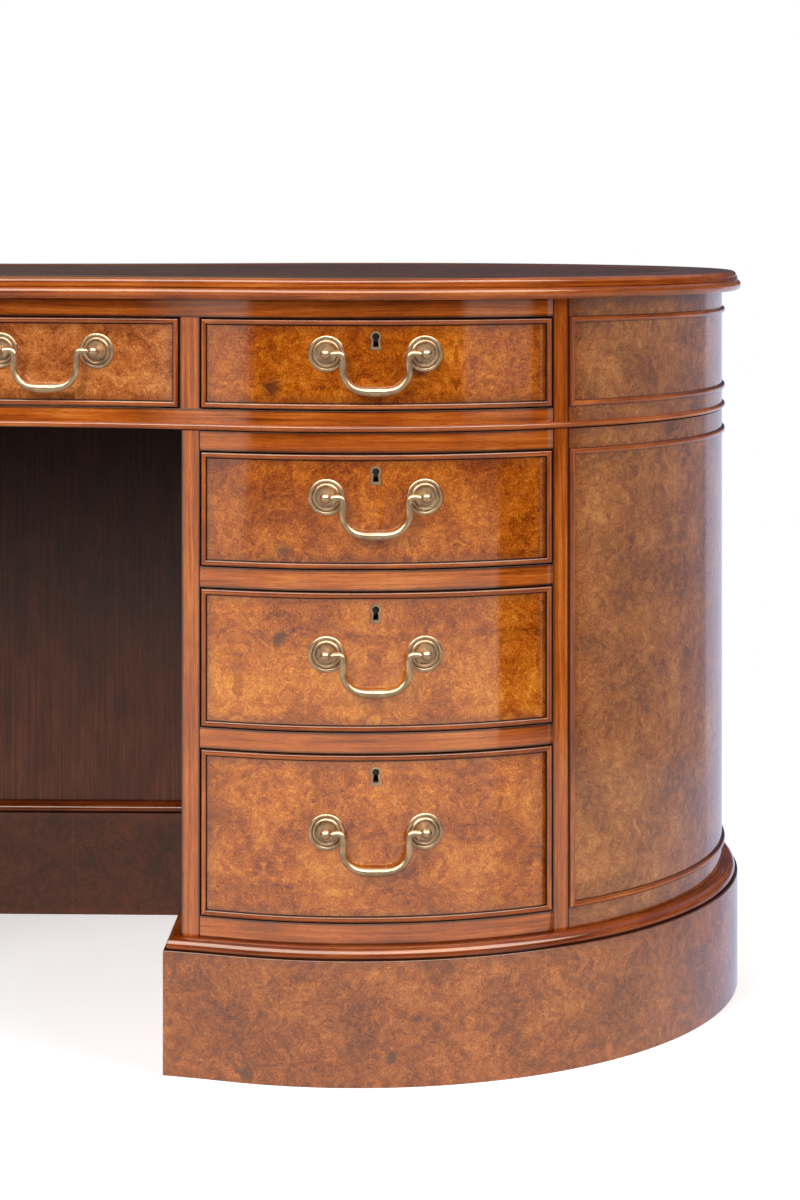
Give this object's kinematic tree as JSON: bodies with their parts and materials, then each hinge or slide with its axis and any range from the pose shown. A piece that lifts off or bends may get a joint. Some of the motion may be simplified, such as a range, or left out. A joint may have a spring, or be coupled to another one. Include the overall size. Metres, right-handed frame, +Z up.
{
  "type": "kidney desk",
  "caption": "Kidney-shaped pedestal desk with bowed and hollow cock-beaded drawers, swan-neck bails, locks, a moulded top and moulded plinths.",
  "frame": {"origin": "on the floor under the middle of the desk", "axes": "+X along the length, +Y towards the back, +Z up"},
  "size_m": [1.7688, 0.833, 0.775],
  "materials": {
    "burr_walnut": "gloss polished burr veneer",
    "walnut": "gloss polished straight grain",
    "walnut_top": "gloss polished",
    "dark_walnut": "satin dark straight grain",
    "oak_lining": "plain sawn oak",
    "aged_brass": "aged polished brass",
    "lock_steel": "dull steel"
  },
  "bodies": {
    "carcass": {"top_board": "walnut_top", "frieze_face_frame": "walnut", "frieze_shell": "burr_walnut", "frieze_runner_frames": "oak_lining", "bead_mouldings": "walnut", "plinths": "burr_walnut", "modesty_panel": "dark_walnut", "pedestal_face_frames": "walnut", "pedestal_shells": "burr_walnut", "pedestal_runner_frames": "oak_lining"},
    "right_frieze_drawer": {"right_frieze_drawer_front": "burr_walnut", "right_frieze_drawer_box": "oak_lining", "right_frieze_drawer_brass": "aged_brass"},
    "right_frieze_drawer_bolt": {"right_frieze_drawer_bolt": "lock_steel"},
    "right_frieze_bail": {"right_frieze_bail": "aged_brass"},
    "right_upper_drawer": {"right_upper_drawer_front": "burr_walnut", "right_upper_drawer_box": "oak_lining", "right_upper_drawer_brass": "aged_brass"},
    "right_upper_drawer_bolt": {"right_upper_drawer_bolt": "lock_steel"},
    "right_upper_bail": {"right_upper_bail": "aged_brass"},
    "right_middle_drawer": {"right_middle_drawer_front": "burr_walnut", "right_middle_drawer_box": "oak_lining", "right_middle_drawer_brass": "aged_brass"},
    "right_middle_drawer_bolt": {"right_middle_drawer_bolt": "lock_steel"},
    "right_middle_bail": {"right_middle_bail": "aged_brass"},
    "right_bottom_drawer": {"right_bottom_drawer_front": "burr_walnut", "right_bottom_drawer_box": "oak_lining", "right_bottom_drawer_brass": "aged_brass"},
    "right_bottom_drawer_bolt": {"right_bottom_drawer_bolt": "lock_steel"},
    "right_bottom_bail": {"right_bottom_bail": "aged_brass"},
    "left_frieze_drawer": {"left_frieze_drawer_front": "burr_walnut", "left_frieze_drawer_box": "oak_lining", "left_frieze_drawer_brass": "aged_brass"},
    "left_frieze_drawer_bolt": {"left_frieze_drawer_bolt": "lock_steel"},
    "left_frieze_bail": {"left_frieze_bail": "aged_brass"},
    "left_upper_drawer": {"left_upper_drawer_front": "burr_walnut", "left_upper_drawer_box": "oak_lining", "left_upper_drawer_brass": "aged_brass"},
    "left_upper_drawer_bolt": {"left_upper_drawer_bolt": "lock_steel"},
    "left_upper_bail": {"left_upper_bail": "aged_brass"},
    "left_middle_drawer": {"left_middle_drawer_front": "burr_walnut", "left_middle_drawer_box": "oak_lining", "left_middle_drawer_brass": "aged_brass"},
    "left_middle_drawer_bolt": {"left_middle_drawer_bolt": "lock_steel"},
    "left_middle_bail": {"left_middle_bail": "aged_brass"},
    "left_bottom_drawer": {"left_bottom_drawer_front": "burr_walnut", "left_bottom_drawer_box": "oak_lining", "left_bottom_drawer_brass": "aged_brass"},
    "left_bottom_drawer_bolt": {"left_bottom_drawer_bolt": "lock_steel"},
    "left_bottom_bail": {"left_bottom_bail": "aged_brass"},
    "centre_drawer": {"centre_drawer_front": "burr_walnut", "centre_drawer_box": "oak_lining", "centre_drawer_brass": "aged_brass"},
    "centre_drawer_bolt": {"centre_drawer_bolt": "lock_steel"},
    "centre_left_bail": {"centre_left_bail": "aged_brass"},
    "centre_right_bail": {"centre_right_bail": "aged_brass"}
  },
  "joints": [
    {"name": "right_frieze_drawer_slide", "type": "slide", "parent": "carcass", "child": "right_frieze_drawer", "axis": [0, -1, 0], "range_m": [0, 0.4]},
    {"name": "right_frieze_drawer_bolt_slide", "type": "slide", "parent": "right_frieze_drawer", "child": "right_frieze_drawer_bolt", "axis": [0, 0, 1], "range_m": [0, 0.008]},
    {"name": "right_frieze_bail_hinge", "type": "hinge", "parent": "right_frieze_drawer", "child": "right_frieze_bail", "pos_m": [0.49632, -0.40308, 0.702], "axis": [-0.9975, -0.0701, 0], "range_deg": [-5, 150]},
    {"name": "right_upper_drawer_slide", "type": "slide", "parent": "carcass", "child": "right_upper_drawer", "axis": [0, -1, 0], "range_m": [0, 0.4]},
    {"name": "right_upper_drawer_bolt_slide", "type": "slide", "parent": "right_upper_drawer", "child": "right_upper_drawer_bolt", "axis": [0, 0, 1], "range_m": [0, 0.008]},
    {"name": "right_upper_bail_hinge", "type": "hinge", "parent": "right_upper_drawer", "child": "right_upper_bail", "pos_m": [0.49632, -0.40308, 0.56375], "axis": [-0.9975, -0.0701, 0], "range_deg": [-5, 150]},
    {"name": "right_middle_drawer_slide", "type": "slide", "parent": "carcass", "child": "right_middle_drawer", "axis": [0, -1, 0], "range_m": [0, 0.4]},
    {"name": "right_middle_drawer_bolt_slide", "type": "slide", "parent": "right_middle_drawer", "child": "right_middle_drawer_bolt", "axis": [0, 0, 1], "range_m": [0, 0.008]},
    {"name": "right_middle_bail_hinge", "type": "hinge", "parent": "right_middle_drawer", "child": "right_middle_bail", "pos_m": [0.49632, -0.40308, 0.4123], "axis": [-0.9975, -0.0701, 0], "range_deg": [-5, 150]},
    {"name": "right_bottom_drawer_slide", "type": "slide", "parent": "carcass", "child": "right_bottom_drawer", "axis": [0, -1, 0], "range_m": [0, 0.4]},
    {"name": "right_bottom_drawer_bolt_slide", "type": "slide", "parent": "right_bottom_drawer", "child": "right_bottom_drawer_bolt", "axis": [0, 0, 1], "range_m": [0, 0.008]},
    {"name": "right_bottom_bail_hinge", "type": "hinge", "parent": "right_bottom_drawer", "child": "right_bottom_bail", "pos_m": [0.49632, -0.40308, 0.24105], "axis": [-0.9975, -0.0701, 0], "range_deg": [-5, 150]},
    {"name": "left_frieze_drawer_slide", "type": "slide", "parent": "carcass", "child": "left_frieze_drawer", "axis": [0, -1, 0], "range_m": [0, 0.4]},
    {"name": "left_frieze_drawer_bolt_slide", "type": "slide", "parent": "left_frieze_drawer", "child": "left_frieze_drawer_bolt", "axis": [0, 0, 1], "range_m": [0, 0.008]},
    {"name": "left_frieze_bail_hinge", "type": "hinge", "parent": "left_frieze_drawer", "child": "left_frieze_bail", "pos_m": [-0.49632, -0.40308, 0.702], "axis": [-0.9975, 0.0701, 0], "range_deg": [-5, 150]},
    {"name": "left_upper_drawer_slide", "type": "slide", "parent": "carcass", "child": "left_upper_drawer", "axis": [0, -1, 0], "range_m": [0, 0.4]},
    {"name": "left_upper_drawer_bolt_slide", "type": "slide", "parent": "left_upper_drawer", "child": "left_upper_drawer_bolt", "axis": [0, 0, 1], "range_m": [0, 0.008]},
    {"name": "left_upper_bail_hinge", "type": "hinge", "parent": "left_upper_drawer", "child": "left_upper_bail", "pos_m": [-0.49632, -0.40308, 0.56375], "axis": [-0.9975, 0.0701, 0], "range_deg": [-5, 150]},
    {"name": "left_middle_drawer_slide", "type": "slide", "parent": "carcass", "child": "left_middle_drawer", "axis": [0, -1, 0], "range_m": [0, 0.4]},
    {"name": "left_middle_drawer_bolt_slide", "type": "slide", "parent": "left_middle_drawer", "child": "left_middle_drawer_bolt", "axis": [0, 0, 1], "range_m": [0, 0.008]},
    {"name": "left_middle_bail_hinge", "type": "hinge", "parent": "left_middle_drawer", "child": "left_middle_bail", "pos_m": [-0.49632, -0.40308, 0.4123], "axis": [-0.9975, 0.0701, 0], "range_deg": [-5, 150]},
    {"name": "left_bottom_drawer_slide", "type": "slide", "parent": "carcass", "child": "left_bottom_drawer", "axis": [0, -1, 0], "range_m": [0, 0.4]},
    {"name": "left_bottom_drawer_bolt_slide", "type": "slide", "parent": "left_bottom_drawer", "child": "left_bottom_drawer_bolt", "axis": [0, 0, 1], "range_m": [0, 0.008]},
    {"name": "left_bottom_bail_hinge", "type": "hinge", "parent": "left_bottom_drawer", "child": "left_bottom_bail", "pos_m": [-0.49632, -0.40308, 0.24105], "axis": [-0.9975, 0.0701, 0], "range_deg": [-5, 150]},
    {"name": "centre_drawer_slide", "type": "slide", "parent": "carcass", "child": "centre_drawer", "axis": [0, -1, 0], "range_m": [0, 0.3]},
    {"name": "centre_drawer_bolt_slide", "type": "slide", "parent": "centre_drawer", "child": "centre_drawer_bolt", "axis": [0, 0, 1], "range_m": [0, 0.008]},
    {"name": "centre_left_bail_hinge", "type": "hinge", "parent": "centre_drawer", "child": "centre_left_bail", "pos_m": [-0.16921, -0.35261, 0.702], "axis": [-0.9911, -0.1334, 0], "range_deg": [-5, 150]},
    {"name": "centre_right_bail_hinge", "type": "hinge", "parent": "centre_drawer", "child": "centre_right_bail", "pos_m": [0.16921, -0.35261, 0.702], "axis": [-0.9911, 0.1334, 0], "range_deg": [-5, 150]}
  ]
}
